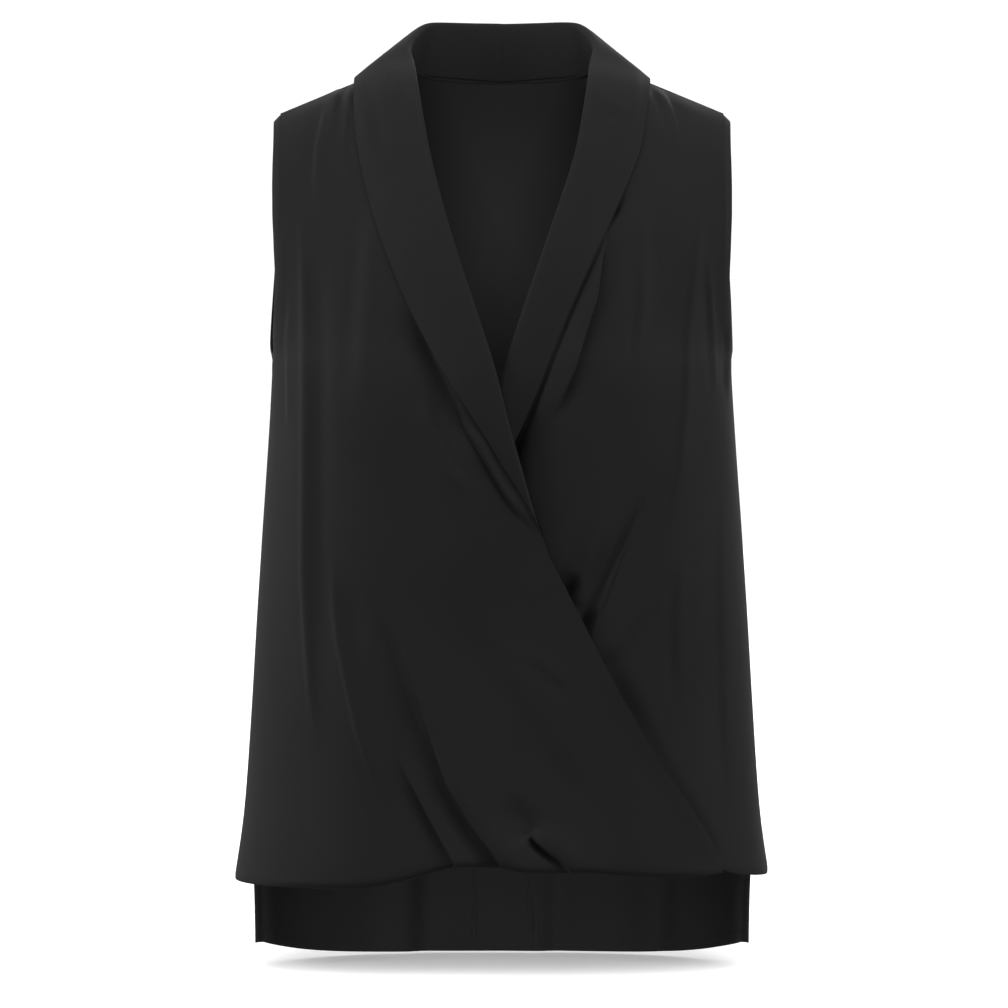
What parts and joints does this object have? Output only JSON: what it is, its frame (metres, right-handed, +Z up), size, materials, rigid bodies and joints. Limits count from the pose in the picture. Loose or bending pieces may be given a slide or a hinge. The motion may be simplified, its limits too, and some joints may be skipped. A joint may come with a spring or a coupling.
{
  "type": "wrap top",
  "caption": "Sleeveless wrap top in plain black crepe, in its worn hollow form: lapped fronts with hem pleats, a longer back and a doubled shawl collar.",
  "frame": {"origin": "midway between the neck ends of the two shoulder seams, at their height, where the wearer's shoulders hold the top up", "axes": "+Z up, the front faces -Y, and the wearer's right side, with the front that laps over, is on -X"},
  "size_m": [0.4259, 0.2391, 0.7622],
  "materials": {
    "crepe": "matte, with a slight sheen"
  },
  "bodies": {
    "root": {"right_front": "crepe", "left_front": "crepe", "back": "crepe", "collar_right": "crepe", "collar_left": "crepe", "armhole_band_right": "crepe", "armhole_band_left": "crepe"}
  },
  "joints": []
}
